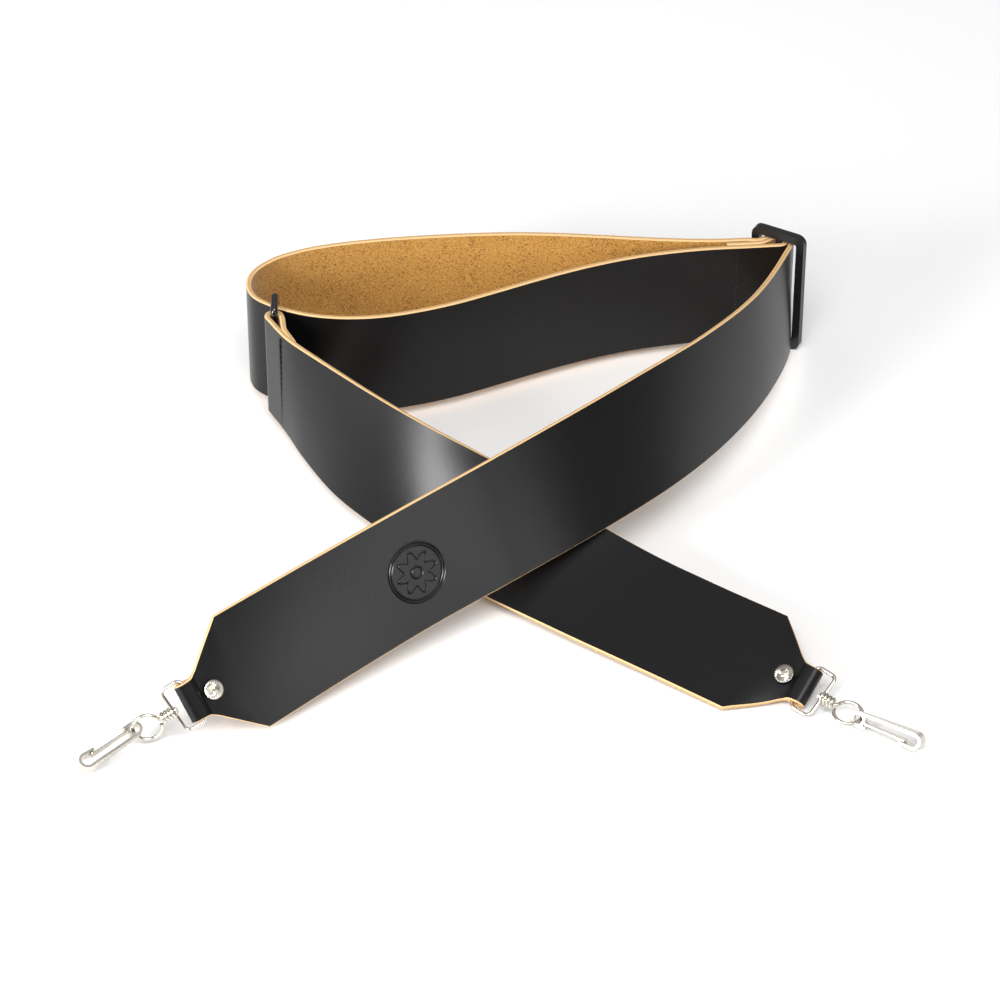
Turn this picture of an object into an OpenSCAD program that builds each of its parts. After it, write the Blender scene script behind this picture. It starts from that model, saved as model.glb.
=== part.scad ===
// Wide leather instrument strap with a sliding buckle, a joining ring and a swivel snap hook at each end.
// It stands on its long edge, crossed over itself. Millimetres, +Z up, origin under the middle of the lay.

/* [Leather] */
// Width of the strap leather
strap_w = 63.5; // [62.5:0.5:64]
// Thickness of the strap leather
leather_t = 2.8; // [2.4:0.1:2.9]
// Width of the hook tab at each end
tab_w = 20.4; // [19:0.2:20.6]
// Length from the shoulders of the strap to the folded end of the tab
tab_l = 33.7; // [33:0.1:35]

/* [Snap hooks] */
// Wire diameter of the loops and swivel eyes
wire_d = 2; // [1.8:0.1:2]
// Loop width between the middles of its side wires
loop_w = 24.6; // [24.4:0.1:25]
// Ring radius of the swivel eye, to the middle of its wire
eye_r = 7.2; // [6.8:0.1:7.4]
// Inside radius of the snap hook's nose
seat_r = 3; // [2.8:0.1:3]
// Strip width of the snap hook at its nose
nose_w = 6.4; // [6:0.2:7]

/* [Rivets] */
// Diameter of the domed rivet cap
cap_d = 10; // [9.5:0.5:11]
// Diameter of the rivet shank
shank_d = 3.2; // [3:0.1:3.4]

/* [Hidden] */

black_leather = "#2a2a2c";
black_metal = "#1b1b1d";
black_thread = "#161616";
nickel = "#cfc8bd";
gap = 0.15;
layer_gap = 0.25;
strap_mid_z = 37.5;
half_w = strap_w / 2;
half_t = leather_t / 2;

// Sliding buckle: an upright frame with two slots, turned in plan
slide_mid = [150.5, 170];
slide_turn = -28;
slide_h = 75.5;
slide_t = 4.2;
slide_rail = 4.6;
slide_bar_pitch = 13.2;
slide_side_bar = 4.4;
slide_pin_d = 3.8;

// Joining ring: its outer bar sits in the short strap's fold, its inner bar inside the main strap's loop
ring_outer = [-119.3, 103.7];
ring_inner = [-119.3, 117.7];
ring_h = 74.5;
ring_bar_d = 4;

sewn_fold_r = slide_pin_d / 2 + 0.35 + half_t;
slide_wrap_r = sewn_fold_r + leather_t + layer_gap;
ring_fold_r = ring_bar_d / 2 + 0.25 + half_t;

// Hook ends, measured along the strap from its shoulders
wire_r = wire_d / 2;
tab_half = tab_w / 2;
taper_slope = 0.9;
tab_ease_l = 8.4;
tab_ease_end = (half_w - tab_half) / taper_slope + tab_ease_l / 2;
tab_layer = half_t + gap;
tab_fold_r = wire_r + 0.35 + half_t;
fold_mid = tab_l - tab_fold_r - half_t;
pinch_start = 23;
pinch_end = 26.5;
flap_end = 9;
rivet_at = tab_l - 16.3;
bar_at = fold_mid - 1.65;

// Loop, eye and hook, measured outwards from the loop's inner bar
loop_l = 11.8;
loop_corner_r = 3;
coil_turns = 4;
coil_pitch = wire_d - 0.02;
coil_r = wire_r + 1.2;
eye_mid = 27.5;
neck_bend_r = 1.6;
eye_gap_angle = 20;
hook_eye_r = 2.6;
strip_t = 1.3;
hook_eye_w = 3.2;
nose_mid = [31.4, -0.5];
nose_mid_r = seat_r + strip_t / 2;
hook_play = 0.9;
gate_root = [4.8, 1.15];
gate_tip = [27, 1.25];
gate_t = 0.6;
gate_curl_r = 0.6;

// Route of each strap's middle: [x, y, z, lean of the strap away from upright]
near_run = [[133, 164.8, strap_mid_z, 0], [112, 163.1, strap_mid_z, 0], [92, 160, strap_mid_z, 0],
  [72, 155.5, strap_mid_z, 0], [52, 149.1, strap_mid_z, 0], [33, 141.5, strap_mid_z, 0],
  [14, 132.8, strap_mid_z, 0], [-5, 123.7, strap_mid_z, 0], [-24, 115.1, strap_mid_z, 0],
  [-44, 108.1, strap_mid_z, 0], [-64, 103.5, strap_mid_z, 0], [-84, 102.5, strap_mid_z, 0],
  [-103, 105.5, strap_mid_z, 0], [-121.5, 113.5, strap_mid_z, 0], [-130.8, 121.3, strap_mid_z, 0],
  [-134, 131.5, strap_mid_z, 0], [-131.5, 142.5, strap_mid_z, 0]];
far_run = [[-121.5, 153.5, strap_mid_z, 0], [-107, 161.1, strap_mid_z, 0], [-91, 166, strap_mid_z, 0],
  [-67, 170.5, strap_mid_z, 0], [-43, 173.4, strap_mid_z, 0], [-19, 175.4, strap_mid_z, 0],
  [5, 176.4, strap_mid_z, 0], [29, 175.9, strap_mid_z, 0], [53, 174.1, strap_mid_z, 0],
  [84, 171.5, strap_mid_z, 0], [105, 170.5, strap_mid_z, 0], [118, 170.5, strap_mid_z, 0],
  [128, 171.1, strap_mid_z, 0], [134, 171.4, strap_mid_z, 0], [139.5, 171.2, strap_mid_z, 0]];
front_run = [[155.4, 156.5, 37.7, 4], [138, 107.5, 45, 9], [112, 62.5, 52, 17], [79, 21.5, 57, 26], [41, -14.5, 57.5, 28],
  [0, -44.5, 52.5, 27], [-43, -73, 45.5, 26], [-86, -102.5, 37.5, 29], [-128, -132.5, 29.5, 34]];
short_run = [[-122.5, 101.9, strap_mid_z, 0], [-112, 83.8, strap_mid_z, -1.5], [-100.5, 67, 37.3, -8], [-75, 35.5, 36, -21], [-45, 8.5, 33, -29],
  [-12, -14.5, 27, -43], [23, -36.5, 19, -65], [58, -58.5, 13.5, -74], [93, -81.5, 11.5, -76], [128, -105, 10.6, -75]];
left_tab_lean = [34, 38];
right_tab_lean = [-75, -62];

function unit(v) = v / norm(v);
function to3(p) = [p[0], p[1], p[2]];
function mix(a, b, k) = a + (b - a) * k;
function ease(k) = k <= 0 ? 0 : k >= 1 ? 1 : k * k * (3 - 2 * k);

// Smooth curve through uneven points, with steps of about one step length
function knot(a, b) = sqrt(norm(to3(b) - to3(a)));
function slope(a, b, c, ta, tb) = (b - a) / ta - (c - a) / (ta + tb) + (c - b) / tb;
function hermite(p, m, q, n, u) = p * (2 * u * u * u - 3 * u * u + 1) + m * (u * u * u - 2 * u * u + u)
  + q * (3 * u * u - 2 * u * u * u) + n * (u * u * u - u * u);
function curve_part(a, b, c, d, u) = let (ta = knot(a, b), tb = knot(b, c), tc = knot(c, d))
  hermite(b, slope(a, b, c, ta, tb) * tb, c, slope(b, c, d, tb, tc) * tb, u);
function curve(p, step) = let (last = len(p) - 1) concat([for (i = [0 : last - 1])
  let (a = i > 0 ? p[i - 1] : 2 * p[0] - p[1], d = i < last - 1 ? p[i + 2] : 2 * p[last] - p[last - 1],
       n = max(1, round(norm(to3(p[i + 1]) - to3(p[i])) / step)))
    for (k = [0 : n - 1]) curve_part(a, p[i], p[i + 1], d, k / n)], [p[last]]);

// Directions of a strap at one place: across its width, from its heading and its lean
function heading(p, i) = unit(to3(p[min(len(p) - 1, i + 1)]) - to3(p[max(0, i - 1)]));
function across(t, lean) = let (side = unit(cross(t, [0, 0, 1]))) cross(side, t) * cos(lean) + side * sin(lean);

// A station of a strap is [middle, direction across, half width]
function stations(p) = [for (i = [0 : len(p) - 1]) [to3(p[i]), across(heading(p, i), p[i][3]), half_w]];
function turned(c, r, a, z) = [c[0] + r * cos(a), c[1] + r * sin(a), z, 0];
function arc(c, r, from, to, n) = [for (k = [0 : n]) turned(c, r, mix(from, to, k / n), strap_mid_z)];

// A sewn end lies beside its strap: it starts apart, by the width of the fold, and closes up at the seam
function beside(p, i, wide, apart, side, length) = let (t = heading(p, i), s = norm(to3(p[i]) - to3(p[0])),
  n = cross(t, across(t, p[i][3])), d = mix(wide, apart, ease(s / length)))
  [p[i][0] + side * n[0] * d, p[i][1] + side * n[1] * d, p[i][2] + side * n[2] * d, p[i][3]];
function sewn_end(p, count, wide, side, length) =
  [for (i = [count : -1 : 1]) beside(p, i, wide, leather_t + 2 * gap, side, length)];

// Half width of the strap past its shoulders, cut straight and then eased into the tab
function tab_half_at(s) = s >= tab_ease_end ? tab_half
  : s >= tab_ease_end - tab_ease_l ? tab_half + taper_slope / (2 * tab_ease_l) * pow(tab_ease_end - s, 2)
  : half_w - taper_slope * s;

// Tab frame at the shoulders: [place, outwards, lean at the shoulders, lean at the tab, side of the flap]
function tab_place(tab, s, q) = let (lean = mix(tab[2], tab[3], ease(s / pinch_start)),
  w = across(tab[1], lean)) [tab[0] + tab[1] * s + cross(tab[1], w) * tab[4] * (q + tab_layer), w];
function tab_station(tab, s, q, half) = let (p = tab_place(tab, s, q)) [p[0], p[1], half];
function tab_layer_at(s) = mix(tab_layer, tab_fold_r, ease((s - pinch_start) / (pinch_end - pinch_start)));
function tab_stations(tab) = concat(
  [for (s = [2 : 2 : 22]) tab_station(tab, s, -tab_layer_at(s), tab_half_at(s))],
  [for (s = [23 : 0.5 : 26.5]) tab_station(tab, s, -tab_layer_at(s), tab_half_at(s))],
  [for (a = [-90 : 15 : 90])
    tab_station(tab, fold_mid + tab_fold_r * cos(a), tab_fold_r * sin(a), tab_half)],
  [for (s = [26.5 : -0.5 : 23]) tab_station(tab, s, tab_layer_at(s), tab_half)],
  [for (s = [20 : -2.75 : flap_end]) tab_station(tab, s, tab_layer, tab_half)]);

// The main strap, from its sewn end round the buckle's middle bar, the loop, the buckle again and out
near_start = arc(slide_mid, sewn_fold_r, 93, -87, 12);
near_curve = curve(concat([near_start[12]], near_run, far_run, arc(slide_mid, slide_wrap_r, 116, -10, 9),
  front_run), 5);
main_sewn = sewn_end(near_curve, 6, 2 * sewn_fold_r, 1, 11);
main_route = concat(main_sewn, near_start, [for (i = [1 : len(near_curve) - 1]) near_curve[i]]);
// The short strap, from its sewn end round the ring's outer bar and out
short_curve = curve(short_run, 5);
short_turn = heading(short_curve, 0);
short_angle = atan2(short_turn[1], short_turn[0]);
short_fold_mid = [short_run[0][0] - ring_fold_r * sin(short_angle), short_run[0][1] + ring_fold_r * cos(short_angle)];
short_sewn = sewn_end(short_curve, 5, 2 * ring_fold_r, -1, 15);
short_fold = arc(short_fold_mid, ring_fold_r, short_angle + 90, short_angle + 270, 12);
short_route = concat(short_sewn, short_fold, [for (i = [1 : len(short_curve) - 1]) short_curve[i]]);

function end_tab(route, lean, side) = let (last = len(route) - 1)
  [to3(route[last]), unit(to3(route[last]) - to3(route[last - 1])), lean[0], lean[1], side];
left_tab = end_tab(main_route, left_tab_lean, 1);
right_tab = end_tab(short_route, right_tab_lean, -1);

// A frame is [place, x, y, z]
function shift(f, v) = [f[0] + f[1] * v[0] + f[2] * v[1] + f[3] * v[2], f[1], f[2], f[3]];
function turn_x(f, a) = [f[0], f[1], f[2] * cos(a) + f[3] * sin(a), f[3] * cos(a) - f[2] * sin(a)];
function turn_y(f, a) = [f[0], f[1] * cos(a) - f[3] * sin(a), f[2], f[3] * cos(a) + f[1] * sin(a)];
function turn_z(f, a) = [f[0], f[1] * cos(a) + f[2] * sin(a), f[2] * cos(a) - f[1] * sin(a), f[3]];
function tab_frame(tab, s) = let (p = tab_place(tab, s, 0)) [p[0], tab[1], p[1], cross(tab[1], p[1])];

// Hook chain at rest: skew and droop of the loop, turn of the eye, place of the hook on it, its swing and roll
left_lay = [-6.5, 32, -18, 22.5, 37.5, -31];
right_lay = [-6.5, -2, -25, 6, -7, 149];
function loop_frame(tab, lay) = turn_y(turn_z(tab_frame(tab, bar_at), lay[0]), -lay[1]);
function eye_frame(tab, lay) = turn_x(loop_frame(tab, lay), lay[2]);
function hook_frame(tab, lay) = let (at_eye = turn_z(shift(eye_frame(tab, lay), [eye_mid, 0, 0]), lay[3]),
  on_wire = turn_y(shift(at_eye, [eye_r, 0, 0]), lay[4])) turn_x(shift(on_wire, [-hook_play, 0, 0]), 90 + lay[5]);
function gate_frame(tab, lay) = shift(hook_frame(tab, lay), [gate_root[0], gate_root[1], 0]);

module place(f) {
  multmatrix([[f[1][0], f[2][0], f[3][0], f[0][0]], [f[1][1], f[2][1], f[3][1], f[0][1]],
    [f[1][2], f[2][2], f[3][2], f[0][2]], [0, 0, 0, 1]]) children();
}

// A strip of leather through a list of stations
module ribbon(st) {
  n = len(st);
  corners = [for (i = [0 : n - 1]) let (t = unit(st[min(n - 1, i + 1)][0] - st[max(0, i - 1)][0]),
    w = st[i][1] * st[i][2], face = unit(cross(t, st[i][1])) * half_t)
    for (c = [[-1, -1], [1, -1], [1, 1], [-1, 1]]) st[i][0] + w * c[0] + face * c[1]];
  sides = [for (i = [0 : n - 2]) for (j = [0 : 3]) let (a = 4 * i + j, b = 4 * i + (j + 1) % 4)
    for (f = [[b, a, a + 4], [b, a + 4, b + 4]]) f];
  polyhedron(points = corners, faces = concat([[0, 1, 2, 3]], sides,
    [[4 * n - 1, 4 * n - 2, 4 * n - 3, 4 * n - 4]]), convexity = 10);
}

// A straight round wire between two points
module wire(a, b, d) {
  v = b - a;
  translate(a) rotate([0, acos(v[2] / norm(v)), atan2(v[1], v[0])]) cylinder(h = norm(v), d = d, $fn = 32);
}

module bent_wire(r, d, angle) {
  rotate_extrude(angle = angle, $fn = 64) translate([r, 0]) circle(d = d, $fn = 32);
}

module main_strap() {
  color(black_leather) difference() {
    ribbon(concat(stations(main_route), tab_stations(left_tab)));
    rivet_hole(left_tab);
  }
}

module short_strap() {
  color(black_leather) difference() {
    ribbon(concat(stations(short_route), tab_stations(right_tab)));
    rivet_hole(right_tab);
  }
}

module rivet_hole(tab) {
  place(tab_frame(tab, rivet_at)) cylinder(h = 4 * leather_t, d = shank_d + 0.1, center = true, $fn = 48);
}

// Upright frame of the buckle, with a round middle bar that the sewn end is folded round
module slide_buckle() {
  side = slide_bar_pitch + slide_side_bar / 2;
  slot = slide_bar_pitch - slide_side_bar / 2;
  color(black_metal) translate([slide_mid[0], slide_mid[1], 0]) rotate([0, 0, slide_turn]) {
    difference() {
      translate([0, slide_t / 2, 0]) rotate([90, 0, 0]) linear_extrude(slide_t) rounded(side, 0, slide_h, 5);
      translate([0, slide_t, 0]) rotate([90, 0, 0]) linear_extrude(2 * slide_t)
        rounded(slot, slide_rail, slide_h - slide_rail, 1.5);
    }
    translate([0, 0, slide_rail - 1]) cylinder(h = slide_h - 2 * slide_rail + 2, d = slide_pin_d, $fn = 48);
  }
}

// Rectangle of half width a from height b to c, with corners of radius r
module rounded(a, b, c, r) {
  translate([-a, b + r]) square([2 * a, c - b - 2 * r]);
  translate([r - a, b]) square([2 * a - 2 * r, c - b]);
  for (x = [r - a, a - r], y = [b + r, c - r]) translate([x, y]) circle(r, $fn = 48);
}

// Closed rectangle of round bar, standing upright with its short sides across the strap's edges
module strap_ring() {
  r = ring_bar_d / 2;
  corner = r + 0.9;
  low = r;
  high = ring_h - r;
  ends = [concat(ring_outer, [0]), concat(ring_inner, [0])];
  along = unit(ends[1] - ends[0]);
  color(black_metal) {
    for (p = ends) translate([p[0], p[1], low + corner])
      cylinder(h = high - low - 2 * corner, d = ring_bar_d, $fn = 48);
    for (z = [low, high]) wire(ends[0] + along * corner + [0, 0, z], ends[1] - along * corner + [0, 0, z],
      ring_bar_d);
    for (k = [0, 1], up = [0, 1])
      translate(ends[k] + along * corner * (1 - 2 * k) + [0, 0, up == 1 ? high - corner : low + corner])
        rotate([0, 0, atan2(along[1], along[0])]) rotate([90, 0, 0])
          rotate([0, 0, k == 0 ? (up == 1 ? 90 : 180) : (up == 1 ? 0 : 270)]) bent_wire(corner, ring_bar_d, 90);
  }
}

// Row of stitches across the strap, on both of its faces
module stitches(at, t, near_face, far_face) {
  w = across(t, 0);
  n = cross(t, w);
  pitch = 3.6;
  rows = 16;
  for (k = [0 : rows - 1], face = [near_face, far_face]) {
    low = at + n * face + w * ((k - (rows - 1) / 2) * pitch - 1.3);
    wire(low, low + w * 2.6, 0.9);
  }
}

module slide_seam_thread() {
  i = 5;
  color(black_thread) stitches(to3(near_curve[i]), heading(near_curve, i), -half_t - 0.1,
    half_t + leather_t + 2 * gap + 0.1);
}

module ring_seam_thread() {
  i = 3;
  color(black_thread) stitches(to3(short_curve[i]), heading(short_curve, i), half_t + 0.1,
    -half_t - leather_t - 2 * gap - 0.1);
}

// Domed cap with a hollow shank: local z points out of the flap side
module rivet_cap(tab) {
  r = cap_d / 2;
  side = tab[4];
  color(nickel) place(tab_frame(tab, rivet_at)) scale([1, 1, side]) difference() {
    union() {
      rotate_extrude($fn = 64) polygon(concat([[0, -leather_t - gap], [r, -leather_t - gap]],
        [for (a = [0 : 15 : 90]) [r * cos(a), -leather_t - gap - 0.4 - 1.5 * sin(a)]]));
      translate([0, 0, -leather_t - gap - 0.4]) cylinder(h = 2 * leather_t + 2 * gap + 0.4, d = shank_d, $fn = 48);
    }
    translate([0, 0, -leather_t - gap]) cylinder(h = 4 * leather_t, d = shank_d - 1, $fn = 48);
  }
}

// Back disc with the pin that is driven into the shank
module rivet_post(tab) {
  color(nickel) place(tab_frame(tab, rivet_at)) scale([1, 1, tab[4]]) {
    translate([0, 0, leather_t + gap]) cylinder(h = 0.9, d = 8.4, $fn = 48);
    translate([0, 0, -leather_t + 0.4]) cylinder(h = 2 * leather_t, d = shank_d - 1, $fn = 48);
  }
}

// Wire bent into a rectangle, its outer side wound into a short coil
module wire_loop(tab, lay) {
  half = loop_w / 2;
  c = loop_corner_r;
  color(nickel) place(loop_frame(tab, lay)) {
    wire([0, c - half, 0], [0, half - c, 0], wire_d);
    for (s = [-1, 1]) {
      wire([c, s * half, 0], [loop_l - c, s * half, 0], wire_d);
      wire([loop_l, s * (half - c), 0], [loop_l, s * coil_r, 0], wire_d);
      translate([c, s * (half - c), 0]) rotate([0, 0, s > 0 ? 90 : 180]) bent_wire(c, wire_d, 90);
      translate([loop_l - c, s * (half - c), 0]) rotate([0, 0, s > 0 ? 0 : 270]) bent_wire(c, wire_d, 90);
    }
    for (k = [0 : coil_turns - 1]) translate([loop_l + k * coil_pitch, 0, 0]) rotate([0, 90, 0])
      bent_wire(coil_r, wire_d, 360);
  }
}

// One wire: a headed stem that turns in the coil, an outward bend, and a ring that stops short of closing
module swivel_eye(tab, lay) {
  head = loop_l - wire_r - 0.25;
  reach = sqrt(pow(eye_r + neck_bend_r, 2) - pow(neck_bend_r, 2));
  bend_at = eye_mid - reach;
  meets = atan2(neck_bend_r, reach);
  color(nickel) place(eye_frame(tab, lay)) {
    translate([head - 0.8, 0, 0]) rotate([0, 90, 0]) cylinder(h = 0.8, r = 1.9, $fn = 48);
    translate([head - 0.4, 0, 0]) rotate([0, 90, 0]) cylinder(h = bend_at - head + 0.4, d = wire_d, $fn = 32);
    translate([bend_at, neck_bend_r, 0]) rotate([0, 0, -90]) bent_wire(neck_bend_r, wire_d, 90 - meets);
    translate([eye_mid, 0, 0]) rotate([0, 0, eye_gap_angle - 180])
      bent_wire(eye_r, wire_d, 360 - eye_gap_angle - meets);
  }
}

// Flat strip in the plane of the hook between two points of its middle line
module strip(a, b, t) {
  v = b - a;
  translate(a) rotate([0, 0, atan2(v[1], v[0])]) translate([0, -t / 2]) square([norm(v), t]);
}

// Strip of metal bent into an eye, a straight back and a hooked nose
module hook_body(tab, lay) {
  eye_line = hook_eye_r + strip_t / 2;
  color(nickel) place(hook_frame(tab, lay)) intersection() {
    translate([0, 0, -nose_w / 2]) linear_extrude(nose_w) difference() {
      union() {
        circle(hook_eye_r + strip_t, $fn = 64);
        strip([0, eye_line], [4.8, eye_line], strip_t);
        strip([0, -eye_line], nose_mid - [0, nose_mid_r], strip_t);
        strip(nose_mid + [0, nose_mid_r], [24.6, 2.65], strip_t);
        translate(nose_mid) intersection() {
          circle(seat_r + strip_t, $fn = 64);
          translate([0, -10]) square(20);
        }
      }
      circle(hook_eye_r, $fn = 64);
      translate(nose_mid) circle(seat_r, $fn = 64);
    }
    rotate([90, 0, 0]) translate([0, 0, -10]) linear_extrude(20) polygon([[-5, -hook_eye_w / 2],
      [6, -hook_eye_w / 2], [26, -nose_w / 2], [40, -nose_w / 2], [40, nose_w / 2], [26, nose_w / 2],
      [6, hook_eye_w / 2], [-5, hook_eye_w / 2]]);
  }
}

// Sprung strip that closes the hook, curled at its root
module hook_gate(tab, lay) {
  tip = gate_tip - gate_root;
  color(nickel) place(gate_frame(tab, lay)) {
    translate([0, 0, -hook_eye_w / 2 + 0.1]) cylinder(h = hook_eye_w - 0.2, r = gate_curl_r, $fn = 32);
    intersection() {
      translate([0, 0, -3]) linear_extrude(6) strip([0, 0], tip, gate_t);
      rotate([90, 0, 0]) translate([0, 0, -10]) linear_extrude(20)
        polygon([[0, -1.7], [22, -2.5], [22.6, -2], [22.6, 2], [22, 2.5], [0, 1.7]]);
    }
  }
}

module left_rivet_cap() { rivet_cap(left_tab); }
module left_rivet_post() { rivet_post(left_tab); }
module left_wire_loop() { wire_loop(left_tab, left_lay); }
module left_swivel_eye() { swivel_eye(left_tab, left_lay); }
module left_hook_body() { hook_body(left_tab, left_lay); }
module left_hook_gate() { hook_gate(left_tab, left_lay); }
module right_rivet_cap() { rivet_cap(right_tab); }
module right_rivet_post() { rivet_post(right_tab); }
module right_wire_loop() { wire_loop(right_tab, right_lay); }
module right_swivel_eye() { swivel_eye(right_tab, right_lay); }
module right_hook_body() { hook_body(right_tab, right_lay); }
module right_hook_gate() { hook_gate(right_tab, right_lay); }

main_strap();
short_strap();
slide_buckle();
strap_ring();
slide_seam_thread();
ring_seam_thread();
left_rivet_cap();
left_rivet_post();
left_wire_loop();
left_swivel_eye();
left_hook_body();
left_hook_gate();
right_rivet_cap();
right_rivet_post();
right_wire_loop();
right_swivel_eye();
right_hook_body();
right_hook_gate();
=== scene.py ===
import bmesh, bpy, math
from mathutils import Matrix, Vector


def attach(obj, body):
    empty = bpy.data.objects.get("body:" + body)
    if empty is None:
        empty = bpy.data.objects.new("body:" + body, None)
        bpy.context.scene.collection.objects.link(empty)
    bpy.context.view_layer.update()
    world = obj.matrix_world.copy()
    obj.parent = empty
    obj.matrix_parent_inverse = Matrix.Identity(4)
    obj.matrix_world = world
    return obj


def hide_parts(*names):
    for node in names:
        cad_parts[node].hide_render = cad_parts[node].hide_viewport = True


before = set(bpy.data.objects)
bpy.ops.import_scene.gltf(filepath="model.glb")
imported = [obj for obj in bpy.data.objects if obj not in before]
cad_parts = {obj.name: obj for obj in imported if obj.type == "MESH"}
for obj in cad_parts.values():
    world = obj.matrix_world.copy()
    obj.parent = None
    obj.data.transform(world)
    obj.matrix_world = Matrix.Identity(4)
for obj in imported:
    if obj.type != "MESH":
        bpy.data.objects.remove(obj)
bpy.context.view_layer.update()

# --- Studio -----------------------------------------------------------------------------------
# The strap lies on a white laminate table, seen from in front and 40 degrees above. A broad soft
# box hangs over the camera, and a tall one stands low at each side.
camera_data = bpy.data.cameras.new("camera")
camera_data.sensor_width = 36
camera_data.lens = 164.2
camera = bpy.data.objects.new("camera", camera_data)
camera.location = (0, -1.804, 1.5427)
camera.rotation_euler = (math.radians(50), 0, 0)
scene = bpy.context.scene
scene.collection.objects.link(camera)
scene.camera = camera
scene.view_settings.view_transform = "Standard"

world = bpy.data.worlds.new("studio_air")
world.use_nodes = True
backdrop = world.node_tree.nodes["Background"]
backdrop.inputs["Color"].default_value = (1, 1, 1, 1)
sky_way = world.node_tree.nodes.new("ShaderNodeTexCoord")
sky_height = world.node_tree.nodes.new("ShaderNodeSeparateXYZ")
sky_light = world.node_tree.nodes.new("ShaderNodeMapRange")
# The air is dim at the horizon and brighter overhead
for socket, value in (("From Min", 0.1), ("From Max", 0.9), ("To Min", 0.14), ("To Max", 0.6)):
    sky_light.inputs[socket].default_value = value
world.node_tree.links.new(sky_way.outputs["Generated"], sky_height.inputs["Vector"])
world.node_tree.links.new(sky_height.outputs["Z"], sky_light.inputs["Value"])
world.node_tree.links.new(sky_light.outputs["Result"], backdrop.inputs["Strength"])
scene.world = world

# Each panel's name, place, aim, width and height in metres, and power in watts
panels = (("front_softbox", (0.1, -1.1, 1.9), (0, 0, 0), (1.6, 1.2), 34),
          ("left_softbox", (-1.2, -0.95, 0.6), (0, 0, 0.03), (0.5, 0.7), 28),
          ("right_softbox", (1.15, -1.05, 0.36), (0, 0, 0.05), (0.26, 0.45), 2.6))
for name, place, aim, size, power in panels:
    lamp = bpy.data.lights.new(name, "AREA")
    lamp.shape = "RECTANGLE"
    lamp.size, lamp.size_y = size
    lamp.energy = power
    lamp_object = bpy.data.objects.new(name, lamp)
    lamp_object.location = place
    beam = Vector(aim) - Vector(place)
    lamp_object.rotation_euler = beam.to_track_quat("-Z", "Y").to_euler()
    scene.collection.objects.link(lamp_object)


def linear(hex_colour):
    """An sRGB hex colour as linear red, green, blue and alpha."""
    parts = [int(hex_colour[i:i + 2], 16) / 255 for i in (1, 3, 5)]
    light = [p / 12.92 if p <= 0.04045 else ((p + 0.055) / 1.055) ** 2.4 for p in parts]
    return light + [1]


def new_material(name, hex_colour, roughness, **sockets):
    """A material with its shader's plain values."""
    material = bpy.data.materials.new(name)
    material.use_nodes = True
    shader = material.node_tree.nodes["Principled BSDF"]
    shader.inputs["Base Color"].default_value = linear(hex_colour)
    shader.inputs["Roughness"].default_value = roughness
    for socket, value in sockets.items():
        shader.inputs[socket.replace("_", " ")].default_value = value
    return material


def add_node(material, kind, links=None, stops=(), **settings):
    """A node with its settings, its sockets' values or links, and a colour ramp's stops."""
    node = material.node_tree.nodes.new("ShaderNode" + kind)
    for key, value in settings.items():
        setattr(node, key, value)
    for socket, value in (links or {}).items():
        if isinstance(value, bpy.types.NodeSocket):
            material.node_tree.links.new(value, node.inputs[socket])
        else:
            node.inputs[socket].default_value = value
    for k, (position, hex_colour) in enumerate(stops):
        ramp = node.color_ramp.elements
        stop = ramp[k] if k < 2 else ramp.new(position)
        stop.position, stop.color = position, linear(hex_colour)
    return node


def drive(material, **sockets):
    """Feeds the shader's sockets from other nodes' outputs."""
    shader = material.node_tree.nodes["Principled BSDF"]
    for socket, output in sockets.items():
        material.node_tree.links.new(output, shader.inputs[socket.replace("_", " ")])


# White laminate: plain and matt, with a slight unevenness in its dull shine
white_laminate = new_material("white_laminate", "#fbfbfb", 0.7)
film = add_node(white_laminate, "TexNoise", {"Scale": 40.0})
dullness = add_node(white_laminate, "MapRange",
                    {"Value": film.outputs["Fac"], "To Min": 0.68, "To Max": 0.72})
drive(white_laminate, Roughness=dullness.outputs["Result"])
bpy.ops.object.select_all(action="DESELECT")
table_drop = 0.0002  # Keeps its top just clear of what lies on it
bpy.ops.mesh.primitive_plane_add(size=8, location=(0, 0, -table_drop))
table = bpy.context.object
table.name = "table"
table.data.materials.append(white_laminate)

# --- Long strap -------------------------------------------------------------------------------
# A length of cowhide 63.5 mm wide and 2.8 mm thick, black and smooth on one face, golden suede on
# the other, with bare cut edges. Its end is sewn round the buckle's middle bar; it runs through the
# joining ring, back through the buckle, and ends in a tab folded over the hook's wire loop.
half_width = 0.03175
half_leather = 0.0014
layer_gap = 0.0003
strap_mid = 0.0375  # Height of the strap's middle where it stands on edge
slide_mid = (0.1505, 0.170)  # The buckle's middle bar, seen from above
slide_bar_radius = 0.0019
bar_play = 0.00035
wrap_gap = 0.00025
sewn_fold_radius = slide_bar_radius + bar_play + half_leather
slide_wrap_radius = sewn_fold_radius + 2 * half_leather + wrap_gap

# Three runs of the route: buckle to ring, ring to buckle, and buckle to hook. The first two stand
# on edge and give x and y; the last gives x, y, height and lean in degrees.
near_run = [(0.133, 0.1648), (0.112, 0.1631), (0.092, 0.160), (0.072, 0.1555),
            (0.052, 0.1491), (0.033, 0.1415), (0.014, 0.1328), (-0.005, 0.1237),
            (-0.024, 0.1151), (-0.044, 0.1081), (-0.064, 0.1035), (-0.084, 0.1025),
            (-0.103, 0.1055), (-0.1215, 0.1135), (-0.1308, 0.1213), (-0.134, 0.1315),
            (-0.1315, 0.1425)]
far_run = [(-0.1215, 0.1535), (-0.107, 0.1611), (-0.091, 0.166), (-0.067, 0.1705),
           (-0.043, 0.1734), (-0.019, 0.1754), (0.005, 0.1764), (0.029, 0.1759),
           (0.053, 0.1741), (0.084, 0.1715), (0.105, 0.1705), (0.118, 0.1705),
           (0.128, 0.1711), (0.134, 0.1714), (0.1395, 0.1712)]
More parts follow.
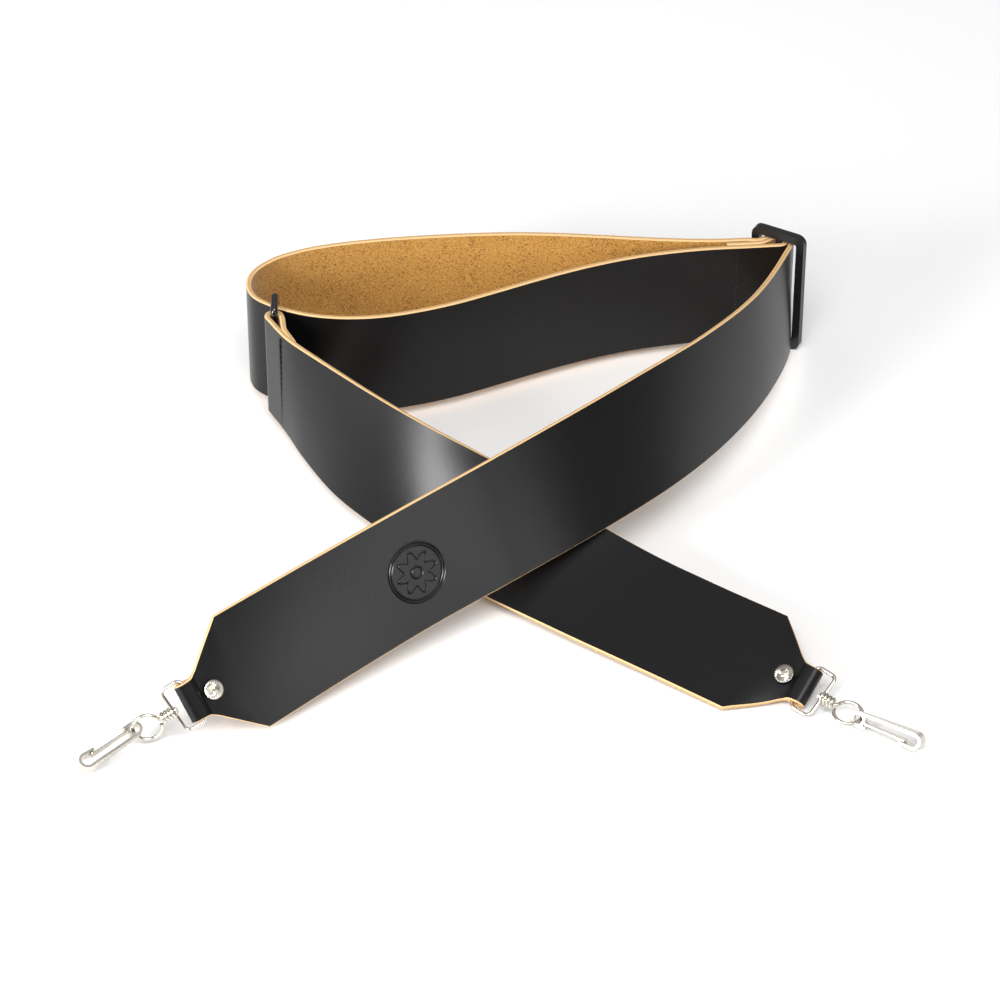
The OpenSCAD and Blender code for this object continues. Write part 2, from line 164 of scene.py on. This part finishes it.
front_run = [(0.1554, 0.1565, 0.0377, 4), (0.138, 0.1075, 0.045, 9),
             (0.112, 0.0625, 0.052, 17), (0.079, 0.0215, 0.057, 26),
             (0.041, -0.0145, 0.0575, 28), (0, -0.0445, 0.0525, 27),
             (-0.043, -0.073, 0.0455, 26), (-0.086, -0.1025, 0.0375, 29),
             (-0.128, -0.1325, 0.0295, 34)]


def ease(k):
    """A smooth step from 0 to 1."""
    k = min(max(k, 0), 1)
    return k * k * (3 - 2 * k)


def smooth_curve(points, step):
    """Points about one step apart on a smooth curve through uneven points (x, y, z, lean)."""
    path = []
    for i in range(len(points) - 1):
        b, c = Vector(points[i]), Vector(points[i + 1])
        a = Vector(points[i - 1]) if i else 2 * b - c
        d = Vector(points[i + 2]) if i < len(points) - 2 else 2 * c - b
        ta, tb, tc = ((q.xyz - p.xyz).length ** 0.5 for p, q in ((a, b), (b, c), (c, d)))
        slope_b = ((b - a) / ta - (c - a) / (ta + tb) + (c - b) / tb) * tb
        slope_c = ((c - b) / tb - (d - b) / (tb + tc) + (d - c) / tc) * tb
        count = max(1, round((c.xyz - b.xyz).length / step))
        for k in range(count):
            u = k / count
            path.append(b * (2 * u ** 3 - 3 * u * u + 1)
                        + slope_b * (u ** 3 - 2 * u * u + u)
                        + c * (3 * u * u - 2 * u ** 3)
                        + slope_c * (u ** 3 - u * u))
    return path + [Vector(points[-1])]


def arc(middle, radius, start, end, count):
    """Upright stretch of a strap bent round an upright bar, angles in degrees."""
    bent = []
    for k in range(count + 1):
        a = math.radians(start + (end - start) * k / count)
        x, y = middle[0] + radius * math.cos(a), middle[1] + radius * math.sin(a)
        bent.append(Vector((x, y, strap_mid, 0)))
    return bent


def upright(run):
    """A run that stands on edge, with its height and lean filled in."""
    return [(x, y, strap_mid, 0) for x, y in run]


def heading(path, i):
    """Direction of the route at one of its points."""
    ahead, behind = path[min(i + 1, len(path) - 1)], path[max(i - 1, 0)]
    return (ahead.xyz - behind.xyz).normalized()


def across(way, lean):
    """Direction from the strap's lower edge to its upper edge."""
    side = way.cross(Vector((0, 0, 1))).normalized()
    tilt = math.radians(lean)
    return side.cross(way) * math.cos(tilt) + side * math.sin(tilt)


def sewn_end(path, count, wide, side, length):
    """The end that is turned back and sewn beside its own strap."""
    layer = []
    for i in range(count, 0, -1):
        way = heading(path, i)
        out = way.cross(across(way, path[i].w))
        share = ease((path[i].xyz - path[0].xyz).length / length)
        apart = wide + (2 * half_leather + layer_gap - wide) * share
        layer.append(Vector((*(path[i].xyz + side * apart * out), path[i].w)))
    return layer


def stations(path):
    """Where the leather is laid: its middle, its width's direction and half its width."""
    return [(p.xyz, across(heading(path, i), p.w), half_width) for i, p in enumerate(path)]


# Tab at each end, cut to a narrow tongue, folded over the loop's wire and riveted to itself
tab_length = 0.0337
tab_half = 0.0102
wire_radius = 0.001
tab_gap = 0.00015
tab_layer = half_leather + tab_gap
tab_fold_radius = wire_radius + bar_play + half_leather
fold_middle = tab_length - tab_fold_radius - half_leather
opening_at = 0.023  # Where the two layers start to part round the wire
opening_length = 0.0035
shoulder_slope = 0.9
ease_length = 0.0084
ease_end = (half_width - tab_half) / shoulder_slope + ease_length / 2


def tab_half_at(s):
    """Half the tab's width: straight shoulders that ease into the narrow tongue."""
    if s >= ease_end:
        return tab_half
    if s >= ease_end - ease_length:
        return tab_half + shoulder_slope / (2 * ease_length) * (ease_end - s) ** 2
    return half_width - shoulder_slope * s


class Tab:
    """A strap's end past its shoulders: its start, way out, lean, and its flap's side."""

    def __init__(self, path, lean_in, lean_out, side):
        self.start = path[-1].xyz
        self.way = (path[-1].xyz - path[-2].xyz).normalized()
        self.lean_in, self.lean_out, self.side = lean_in, lean_out, side

    def station(self, s, q, half):
        """One station: s along the tab, q off the middle of its two layers."""
        lean = self.lean_in + (self.lean_out - self.lean_in) * ease(s / opening_at)
        width_way = across(self.way, lean)
        out = self.way.cross(width_way) * self.side
        return self.start + self.way * s + out * (q + tab_layer), width_way, half

    def layer_at(self, s):
        """How far each layer's middle is from the middle of the two."""
        opened = ease((s - opening_at) / opening_length)
        return tab_layer + (tab_fold_radius - tab_layer) * opened

    def stations(self):
        """Out along the front layer, round the wire and back along the flap."""
        front = [s / 1000 for s in range(1, 23)]
        front += [opening_at + k * 0.0005 for k in range(8)]
        laid = [self.station(s, -self.layer_at(s), tab_half_at(s)) for s in front]
        for k in range(17):
            a = math.radians(-90 + 180 * k / 16)
            laid.append(self.station(fold_middle + tab_fold_radius * math.cos(a),
                                     tab_fold_radius * math.sin(a), tab_half))
        back = [0.0265 - k * 0.0005 for k in range(8)]
        back += [0.022 - k * 0.001 for k in range(14)]
        return laid + [self.station(s, self.layer_at(s), tab_half) for s in back]


step = 0.0018  # Between the stations of a route
near_start = arc(slide_mid, sewn_fold_radius, start=93, end=-87, count=24)
slide_wrap = arc(slide_mid, slide_wrap_radius, start=116, end=-10, count=9)
long_path = smooth_curve([near_start[-1], *upright(near_run), *upright(far_run), *slide_wrap,
                          *front_run], step)
long_sewn = sewn_end(long_path, count=16, wide=2 * sewn_fold_radius, side=1, length=0.011)
long_route = long_sewn + near_start + long_path[1:]
left_tab = Tab(long_route, lean_in=34, lean_out=38, side=1)


def leather_mesh(name, laid, black_side):
    """Closed strip of leather with eased arrises. Its UV map holds metres along and across."""
    columns = 12
    arris = 0.0005
    cut_row = 0.45  # Two rows of vertices run along each cut edge between the faces
    cut_spread = 1.25
    grain_face, flesh_face, cut_face = 0, 1, 2
    widths = [-1 + 2 * k / columns for k in range(columns + 1)]
    ring = ([(u, 1) for u in widths] + [(1, cut_row), (1, -cut_row)]
            + [(u, -1) for u in reversed(widths)] + [(-1, -cut_row), (-1, cut_row)])
    count = len(ring)
    vertices, faces, kinds, lengths = [], [], [], [0]
    for i, (place, width_way, half) in enumerate(laid):
        before, after = laid[max(i - 1, 0)][0], laid[min(i + 1, len(laid) - 1)][0]
        face_way = (after - before).normalized().cross(width_way).normalized()
        if i:
            lengths.append(lengths[-1] + (place - laid[i - 1][0]).length)
        for u, v in ring:
            inner = half - (arris if abs(v) == 1 and abs(u) == 1 else 0)
            reach = half_leather if abs(v) == 1 else half_leather * abs(v) * cut_spread
            vertices.append(place + width_way * u * inner + face_way * math.copysign(reach, v))
    for i in range(len(laid) - 1):
        for k in range(count):
            a, b = i * count + k, i * count + (k + 1) % count
            faces.append((a, a + count, b + count, b))
            if abs(ring[k][1]) != 1 or abs(ring[(k + 1) % count][1]) != 1:
                kinds.append(cut_face)
            else:
                kinds.append(grain_face if ring[k][1] == black_side else flesh_face)
    last = (len(laid) - 1) * count
    faces += [tuple(range(count)), tuple(range(last + count - 1, last - 1, -1))]
    kinds += [cut_face, cut_face]
    mesh = bpy.data.meshes.new(name)
    mesh.from_pydata([tuple(v) for v in vertices], [], faces)
    uv = mesh.uv_layers.new(name="lay")
    for polygon, kind in zip(mesh.polygons, kinds):
        polygon.material_index = kind
        for loop in polygon.loop_indices:
            i, k = divmod(mesh.loops[loop].vertex_index, count)
            u, v = ring[k]
            off_middle = v * half_leather if kind == cut_face else u * laid[i][2]
            uv.data[loop].uv = (lengths[i], off_middle)
    strip = bpy.data.objects.new(name, mesh)
    scene.collection.objects.link(strip)
    bpy.ops.object.select_all(action="DESELECT")
    bpy.context.view_layer.objects.active = strip
    strip.select_set(True)
    bpy.ops.object.shade_smooth_by_angle(angle=math.radians(40))
    area = sum(2 * laid[i][2] * (lengths[i + 1] - lengths[i]) for i in range(len(laid) - 1))
    return strip, lengths, area


def black_cowhide(name):
    """Chrome-tanned cowhide, its grain side dyed black and lightly glazed.

    It looks deep black, with broad soft grey highlights over a fine, shallow pebble.
    """
    hide = new_material(name, "#0c0c0e", 0.3, Specular_IOR_Level=0.3)
    place_on = add_node(hide, "TexCoord")
    pebble = add_node(hide, "TexVoronoi",
                      {"Vector": place_on.outputs["Object"], "Scale": 1100.0})
    pores = add_node(hide, "TexNoise",
                     {"Vector": place_on.outputs["Object"], "Scale": 2200.0, "Detail": 3.0})
    dye = add_node(hide, "ValToRGB", {"Fac": pores.outputs["Fac"]},
                   stops=((0.3, "#08080a"), (0.75, "#101012")))
    glaze = add_node(hide, "MapRange",
                     {"Value": pores.outputs["Fac"], "To Min": 0.24, "To Max": 0.36})
    height = add_node(hide, "Math", {0: pebble.outputs["Distance"], 1: pores.outputs["Fac"]},
                      operation="MULTIPLY")
    grain = add_node(hide, "Bump",
                     {"Height": height.outputs["Value"], "Strength": 0.14, "Distance": 0.0002})
    drive(hide, Base_Color=dye.outputs["Color"], Roughness=glaze.outputs["Result"],
          Normal=grain.outputs["Normal"])
    return hide, grain


long_strap, long_lengths, long_area = leather_mesh(
    "long_strap", stations(long_route) + left_tab.stations(), -1)

# The stamp pressed into the long strap's face: a double ring round an eight-petalled flower with a
# round eye, cut as narrow grooves that catch the light on one side.
stamped_hide, grain = black_cowhide("stamped_cowhide")
stamp_place = Vector((-0.043, -0.073, 0.0455))
stamp_rings = (0.0155, 0.0141)
stamp_eye = 0.003
petals, petal_reach, petal_swing = 8.0, 0.009, 0.0021
groove_half, groove_depth = 0.0007, 0.0008
stamp_off_middle = 0.002
stamp_at = min(range(len(long_route)), key=lambda i: (long_route[i].xyz - stamp_place).length)
stamp_shift = (-long_lengths[stamp_at], stamp_off_middle, 0)
place_on = add_node(stamped_hide, "TexCoord")
off = add_node(stamped_hide, "VectorMath", {0: place_on.outputs["UV"], 1: stamp_shift},
               operation="ADD")
split = add_node(stamped_hide, "SeparateXYZ", {"Vector": off.outputs["Vector"]})
radius = add_node(stamped_hide, "VectorMath", {0: off.outputs["Vector"]}, operation="LENGTH")
turn_at = add_node(stamped_hide, "Math", {0: split.outputs["Y"], 1: split.outputs["X"]},
                   operation="ARCTAN2")
share_of_turn = add_node(stamped_hide, "Math", {0: turn_at.outputs["Value"], 1: petals},
                         operation="MULTIPLY")
wave = add_node(stamped_hide, "Math", {0: share_of_turn.outputs["Value"]}, operation="COSINE")
petal = add_node(stamped_hide, "Math",
                 {0: wave.outputs["Value"], 1: petal_swing, 2: petal_reach},
                 operation="MULTIPLY_ADD")
nearest = None
for line in (*stamp_rings, petal.outputs["Value"], stamp_eye):
    gap_to = add_node(stamped_hide, "Math", {0: radius.outputs["Value"], 1: line},
                      operation="SUBTRACT")
    size_of = add_node(stamped_hide, "Math", {0: gap_to.outputs["Value"]}, operation="ABSOLUTE")
    nearest = size_of if nearest is None else add_node(
        stamped_hide, "Math", {0: nearest.outputs["Value"], 1: size_of.outputs["Value"]},
        operation="MINIMUM")
groove = add_node(stamped_hide, "MapRange",
                  {"Value": nearest.outputs["Value"], "From Max": groove_half})
press = add_node(stamped_hide, "Bump",
                 {"Height": groove.outputs["Result"], "Strength": 1.0, "Distance": groove_depth,
                  "Normal": grain.outputs["Normal"]})
drive(stamped_hide, Normal=press.outputs["Normal"])

# The flesh side, sueded: golden tan and dull, freckled with darker fibres that run every way
golden_suede = new_material("golden_suede", "#c08438", 0.95,
                            Sheen_Weight=0.3, Sheen_Roughness=0.5)
place_on = add_node(golden_suede, "TexCoord")
nap = add_node(golden_suede, "TexNoise",
               {"Vector": place_on.outputs["Object"], "Scale": 950.0, "Detail": 5.0,
                "Roughness": 0.7})
cloud = add_node(golden_suede, "TexNoise",
                 {"Vector": place_on.outputs["Object"], "Scale": 45.0, "Detail": 4.0})
mixed = add_node(golden_suede, "Math",
                 {0: cloud.outputs["Fac"], 1: 0.12, 2: nap.outputs["Fac"]},
                 operation="MULTIPLY_ADD")
tan = add_node(golden_suede, "ValToRGB", {"Fac": mixed.outputs["Value"]},
               stops=((0.42, "#764a18"), (0.72, "#cfa04c"), (0.52, "#b58233")))
fibres = add_node(golden_suede, "Bump",
                  {"Height": nap.outputs["Fac"], "Strength": 0.5, "Distance": 0.0004})
drive(golden_suede, Base_Color=tan.outputs["Color"], Normal=fibres.outputs["Normal"])

# The cut edge: raw hide, pale tan, with a darker line along its middle and lifted fibres
cut_edge = new_material("cut_edge", "#e0b57c", 0.9)
place_on = add_node(cut_edge, "TexCoord")
split = add_node(cut_edge, "SeparateXYZ", {"Vector": place_on.outputs["UV"]})
off_middle = add_node(cut_edge, "Math", {0: split.outputs["Y"]}, operation="ABSOLUTE")
strands = add_node(cut_edge, "TexNoise",
                   {"Vector": place_on.outputs["Object"], "Scale": 1300.0, "Detail": 4.0})
line = add_node(cut_edge, "MapRange", {"Value": off_middle.outputs["Value"], "From Max": 0.0009})
tinted = add_node(cut_edge, "Math", {0: line.outputs["Result"], 1: strands.outputs["Fac"]},
                  operation="ADD")
edge_tone = add_node(cut_edge, "ValToRGB", {"Fac": tinted.outputs["Value"]},
                     stops=((0.35, "#a0733f"), (1.0, "#dcb784")))
rough_edge = add_node(cut_edge, "Bump",
                      {"Height": strands.outputs["Fac"], "Strength": 0.6, "Distance": 0.0003})
drive(cut_edge, Base_Color=edge_tone.outputs["Color"], Normal=rough_edge.outputs["Normal"])

for material in (stamped_hide, golden_suede, cut_edge):
    long_strap.data.materials.append(material)
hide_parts("main_strap")
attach(long_strap, "root")

# --- Short strap ------------------------------------------------------------------------------
# The same cowhide with no stamp. Its end is sewn round the ring's outer bar; it twists down from
# there until it lies nearly flat under the long strap, and it ends in the same folded tab.
short_run = [(-0.1225, 0.1019, strap_mid, 0), (-0.112, 0.0838, strap_mid, -1.5),
             (-0.1005, 0.067, 0.0373, -8), (-0.075, 0.0355, 0.036, -21),
             (-0.045, 0.0085, 0.033, -29), (-0.012, -0.0145, 0.027, -43),
             (0.023, -0.0365, 0.019, -65), (0.058, -0.0585, 0.0135, -74),
             (0.093, -0.0815, 0.0115, -76), (0.128, -0.105, 0.0106, -75)]
ring_bar_radius = 0.002
ring_play = 0.00025
ring_fold_radius = ring_bar_radius + ring_play + half_leather
short_path = smooth_curve(short_run, step)
way_angle = math.degrees(math.atan2(heading(short_path, 0).y, heading(short_path, 0).x))
fold_out = Vector((-math.sin(math.radians(way_angle)), math.cos(math.radians(way_angle)), 0))
short_fold = arc(short_path[0].xyz + fold_out * ring_fold_radius, ring_fold_radius,
                 start=way_angle + 90, end=way_angle + 270, count=24)
short_sewn = sewn_end(short_path, count=14, wide=2 * ring_fold_radius, side=-1, length=0.015)
short_route = short_sewn + short_fold + short_path[1:]
right_tab = Tab(short_route, lean_in=-75, lean_out=-62, side=-1)
plain_hide, _ = black_cowhide("black_cowhide")
short_strap, short_lengths, short_area = leather_mesh(
    "short_strap_leather", stations(short_route) + right_tab.stations(), 1)
for material in (plain_hide, golden_suede, cut_edge):
    short_strap.data.materials.append(material)
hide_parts("short_strap")
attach(short_strap, "root")

# --- Seams ------------------------------------------------------------------------------------
# Each folded end is closed by one row of lockstitch in black bonded polyester thread, 0.84 mm
# thick, 3.6 mm to the stitch. It shows on both faces, and the stitches lie at a slant.

# The thread: black and half dull, with fine ridges from its twist
bonded_thread = new_material("bonded_thread", "#0b0b0c", 0.5)
place_on = add_node(bonded_thread, "TexCoord")
ply = add_node(bonded_thread, "TexWave",
               {"Vector": place_on.outputs["Object"], "Scale": 900.0})
twist = add_node(bonded_thread, "Bump",
                 {"Height": ply.outputs["Fac"], "Strength": 0.5, "Distance": 0.0002})
drive(bonded_thread, Normal=twist.outputs["Normal"])

stitch_length = 0.002
stitch_radius = 0.00042
stitch_end = 0.0005
stitch_pitch = 0.0036
stitch_count = 16
stitch_slant = 20
stitch_rise = 0.0001  # How far the thread's middle stands off the leather's face
bpy.ops.object.select_all(action="DESELECT")
bpy.ops.mesh.primitive_cylinder_add(vertices=8, radius=stitch_radius, depth=stitch_length,
                                    location=(0, 0, 0))
stitch = bpy.context.object
bpy.ops.object.mode_set(mode="EDIT")
bpy.ops.mesh.select_mode(type="FACE")
for up in (1, -1):
    stitch_mesh = bmesh.from_edit_mesh(stitch.data)
    for face in stitch_mesh.faces:
        face.select_set(face.normal.z * up > 0.9)
    bpy.ops.mesh.extrude_region_move(TRANSFORM_OT_translate={"value": (0, 0, stitch_end * up)})
    bpy.ops.transform.resize(value=(0.45, 0.45, 1))
bpy.ops.object.mode_set(mode="OBJECT")
bpy.ops.object.shade_smooth_by_angle(angle=math.radians(50))
stitch.data.materials.append(bonded_thread)


def sew(name, node, path, distance, faces):
    """Copies of the stitch in a row across the strap, on both faces."""
    along = 0
    i = 0
    while along < distance:
        i += 1
        along += (path[i].xyz - path[i - 1].xyz).length
    way = heading(path, i)
    up = across(way, 0)
    out = way.cross(up)
    row = []
    for k in range(stitch_count):
        off_centre = k - (stitch_count - 1) / 2
        for depth in faces:
            copy = stitch.copy()
            copy.data = stitch.data.copy()
            place = path[i].xyz + out * depth + up * off_centre * stitch_pitch
            copy.matrix_world = (Matrix.Translation(place)
                                 @ Matrix.Rotation(math.radians(stitch_slant), 4, out)
                                 @ Matrix((-way, out, up)).transposed().to_4x4())
            scene.collection.objects.link(copy)
            row.append(copy)
    bpy.ops.object.select_all(action="DESELECT")
    for copy in row:
        copy.select_set(True)
    bpy.context.view_layer.objects.active = row[0]
    bpy.ops.object.join()
    bpy.ops.object.transform_apply(location=True, rotation=True, scale=True)
    seam = bpy.context.object
    seam.name = name
    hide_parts(node)
    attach(seam, "root")


under_layer = 3 * half_leather + layer_gap
sew("slide_seam", "slide_seam_thread", long_path, distance=0.0229,
    faces=(-half_leather - stitch_rise, under_layer + stitch_rise))
sew("ring_seam", "ring_seam_thread", short_path, distance=0.0157,
    faces=(half_leather + stitch_rise, -under_layer - stitch_rise))
bpy.data.objects.remove(stitch)

# --- Sliding buckle and joining ring ----------------------------------------------------------
# The buckle is a cast frame with a round middle bar, finished in satin black enamel. The ring is
# bent from 4 mm bar, welded, and dipped in gloss black enamel.


def finish_part(node, finish):
    """Gives a CAD piece its finish in place of the plain colour it comes with."""
    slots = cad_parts[node].data.materials
    slots.clear()
    slots.append(finish)


# Baked satin enamel: near black with a broad dull sheen over the faintly uneven cast skin
satin_enamel = new_material("satin_black_enamel", "#161618", 0.4)
place_on = add_node(satin_enamel, "TexCoord")
peel = add_node(satin_enamel, "TexNoise",
                {"Vector": place_on.outputs["Object"], "Scale": 700.0, "Detail": 3.0})
cast_skin = add_node(satin_enamel, "Bump",
                     {"Height": peel.outputs["Fac"], "Strength": 0.15, "Distance": 0.0002})
drive(satin_enamel, Normal=cast_skin.outputs["Normal"])
finish_part("slide_buckle", satin_enamel)

# Dipped gloss enamel: wet black, its sharp highlights slightly wavy where the coat ran
gloss_enamel = new_material("gloss_black_enamel", "#0b0b0f", 0.12, Coat_Weight=0.6)
place_on = add_node(gloss_enamel, "TexCoord")
flow = add_node(gloss_enamel, "TexNoise",
                {"Vector": place_on.outputs["Object"], "Scale": 120.0})
dipped = add_node(gloss_enamel, "Bump",
                  {"Height": flow.outputs["Fac"], "Strength": 0.1, "Distance": 0.0004})
drive(gloss_enamel, Normal=dipped.outputs["Normal"])
finish_part("strap_ring", gloss_enamel)

# --- Rivets -----------------------------------------------------------------------------------
# Pressed brass, nickel plated: a 10 mm domed cap with flutes that run out from a small boss, and a
# hollow shank that goes through both layers of the tab on to the post behind.

# Nickel plate: a bright, faintly warm mirror, dulled in patches by handling
nickel_plate = new_material("nickel_plate", "#d6d0c6", 0.2, Metallic=1.0)
place_on = add_node(nickel_plate, "TexCoord")
smear = add_node(nickel_plate, "TexNoise",
                 {"Vector": place_on.outputs["Object"], "Scale": 260.0, "Detail": 3.0})
worn = add_node(nickel_plate, "MapRange",
                {"Value": smear.outputs["Fac"], "To Min": 0.16, "To Max": 0.26})
drive(nickel_plate, Roughness=worn.outputs["Result"])

cap_radius = 0.005
cap_flatness = 0.32
cap_rim = 0.0004
flutes = 24
flute_depth = 0.00028
boss_rise = 0.0003
shank_radius = 0.0016
shank_length = 0.0054


def choose(fits):
    """Selects those of the cap's vertices that fit; out is how far one is from the axis."""
    cap_mesh = bmesh.from_edit_mesh(cap.data)
    for vertex in cap_mesh.verts:
        vertex.select_set(fits(vertex, math.hypot(vertex.co.x, vertex.co.y)))
    cap_mesh.select_flush_mode()


def in_flute(vertex, out):
    """Whether a vertex lies in the bottom of a flute: every other column, short of the rim."""
    column = round(math.atan2(vertex.co.y, vertex.co.x) / math.pi * flutes)
    return column % 2 == 1 and 0.3 * cap_radius < out < 0.995 * cap_radius


def in_boss(vertex, out):
    """Whether a vertex lies in the boss at the cap's middle."""
    return out < 0.2 * cap_radius


def on_boundary(vertex, out):
    """Whether a vertex lies on the open lower edge."""
    return vertex.is_boundary


bpy.ops.object.select_all(action="DESELECT")
bpy.ops.mesh.primitive_uv_sphere_add(segments=2 * flutes, ring_count=20, radius=cap_radius,
                                     location=(0, 0, 0))
cap = bpy.context.object
bpy.ops.object.mode_set(mode="EDIT")
bpy.ops.mesh.bisect(plane_co=(0, 0, 0.00001), plane_no=(0, 0, 1), clear_inner=True)
bpy.ops.mesh.select_all(action="SELECT")
bpy.ops.transform.resize(value=(1, 1, cap_flatness))
bpy.ops.mesh.select_mode(type="VERT")
choose(in_flute)
bpy.ops.transform.translate(value=(0, 0, -flute_depth))
choose(in_boss)
bpy.ops.transform.translate(value=(0, 0, boss_rise))
choose(on_boundary)
bpy.ops.mesh.extrude_region_move(TRANSFORM_OT_translate={"value": (0, 0, -cap_rim)})
bpy.ops.mesh.extrude_region_move(TRANSFORM_OT_translate={"value": (0, 0, 0)})
bpy.ops.transform.resize(value=(shank_radius / cap_radius, shank_radius / cap_radius, 1))
bpy.ops.mesh.extrude_region_move(TRANSFORM_OT_translate={"value": (0, 0, -shank_length)})
bpy.ops.mesh.edge_face_add()
bpy.ops.mesh.select_all(action="SELECT")
bpy.ops.mesh.normals_make_consistent(inside=False)
bpy.ops.object.mode_set(mode="OBJECT")
bpy.ops.object.shade_smooth_by_angle(angle=math.radians(24))
cap.data.materials.append(nickel_plate)

rivet_from_end = 0.0163
cap_seat = 2 * half_leather + tab_gap + cap_rim
for side, tab in (("left", left_tab), ("right", right_tab)):
    place, width_way, _ = tab.station(tab_length - rivet_from_end, 0, tab_half)
    front = -tab.side * tab.way.cross(width_way)
    rivet = cap.copy()
    rivet.data = cap.data.copy()
    rivet.name = side + "_fluted_cap"
    rivet.matrix_world = (Matrix.Translation(place + front * cap_seat)
                          @ Matrix((tab.way, front.cross(tab.way), front)).transposed().to_4x4())
    scene.collection.objects.link(rivet)
    bpy.ops.object.select_all(action="DESELECT")
    rivet.select_set(True)
    bpy.context.view_layer.objects.active = rivet
    bpy.ops.object.transform_apply(location=True, rotation=True, scale=True)
    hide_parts(side + "_rivet_cap")
    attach(rivet, "root")
bpy.data.objects.remove(cap)

# --- Loops, swivel eyes and snap hooks --------------------------------------------------------
# Nickel-plated steel: a loop and an eye of 2 mm wire, a hook bent from 1.3 mm strip, and its sprung
# gate. The wire has the rivets' bright plate.

# Tumbled nickel: greyer and softer than the wire, scuffed unevenly by the tumbler
tumbled_nickel = new_material("tumbled_nickel", "#d2ccc2", 0.26, Metallic=1.0)
place_on = add_node(tumbled_nickel, "TexCoord")
scuffs = add_node(tumbled_nickel, "TexNoise",
                  {"Vector": place_on.outputs["Object"], "Scale": 500.0})
scuffed = add_node(tumbled_nickel, "MapRange",
                   {"Value": scuffs.outputs["Fac"], "To Min": 0.2, "To Max": 0.34})
drive(tumbled_nickel, Roughness=scuffed.outputs["Result"])
for side in ("left", "right"):
    for kind in ("rivet_post", "wire_loop", "swivel_eye"):
        finish_part(side + "_" + kind, nickel_plate)
    for kind in ("hook_body", "hook_gate"):
        finish_part(side + "_" + kind, tumbled_nickel)
